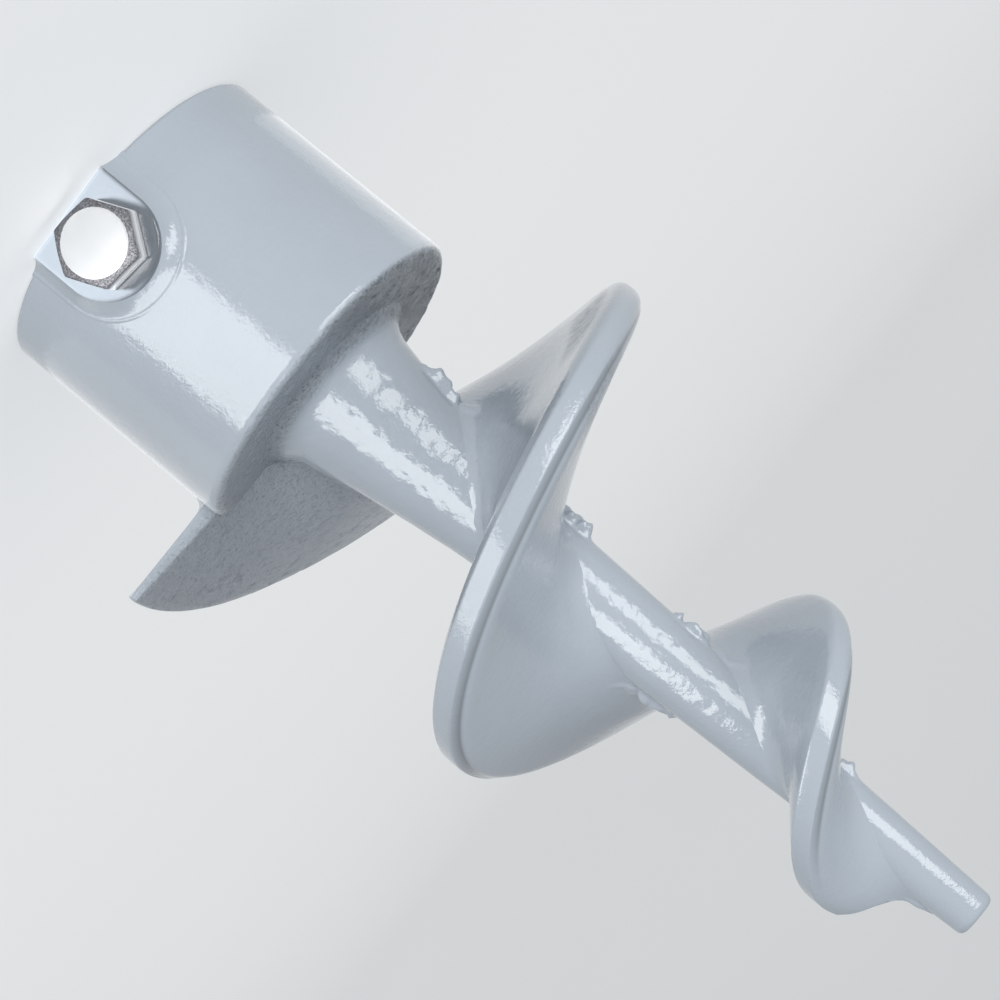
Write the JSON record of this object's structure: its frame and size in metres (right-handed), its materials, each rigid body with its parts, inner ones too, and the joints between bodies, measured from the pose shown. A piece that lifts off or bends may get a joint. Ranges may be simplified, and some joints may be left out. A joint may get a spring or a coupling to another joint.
{
  "type": "ice auger point",
  "caption": "Tapered screw point for an ice drill: a drive socket with a clamp bolt, a solid core and a right-handed flight that narrows to a blunt tip.",
  "frame": {"origin": "centre of the drive socket's mouth", "axes": "+Z along the axis from the mouth to the tip, -Y along the clamp bolt towards its head"},
  "size_m": [0.1212, 0.1131, 0.2375],
  "materials": {
    "enamel": "thick glossy light blue-grey enamel over rough steel",
    "enamel_weld": "the same enamel over lumpy weld metal",
    "zinc_steel": "bright zinc-plated steel"
  },
  "bodies": {
    "auger_point": {"socket_tube": "enamel", "socket_base": "enamel", "bolt_pad": "enamel", "core_shaft": "enamel", "upper_flight": "enamel", "lower_flight": "enamel", "socket_seam_weld": "enamel_weld", "pad_weld": "enamel_weld", "core_foot_weld": "enamel_weld", "flight_start_weld": "enamel_weld", "flight_joint_weld": "enamel_weld", "upper_flight_top_weld": "enamel_weld", "upper_flight_bottom_weld": "enamel_weld", "lower_flight_top_weld": "enamel_weld", "lower_flight_bottom_weld": "enamel_weld"},
    "bolt": {"clamp_bolt": "zinc_steel"}
  },
  "joints": [
    {"name": "clamp_bolt_travel", "type": "slide", "parent": "auger_point", "child": "bolt", "axis": [0, -1, 0], "range_m": [0, 0.018]}
  ]
}
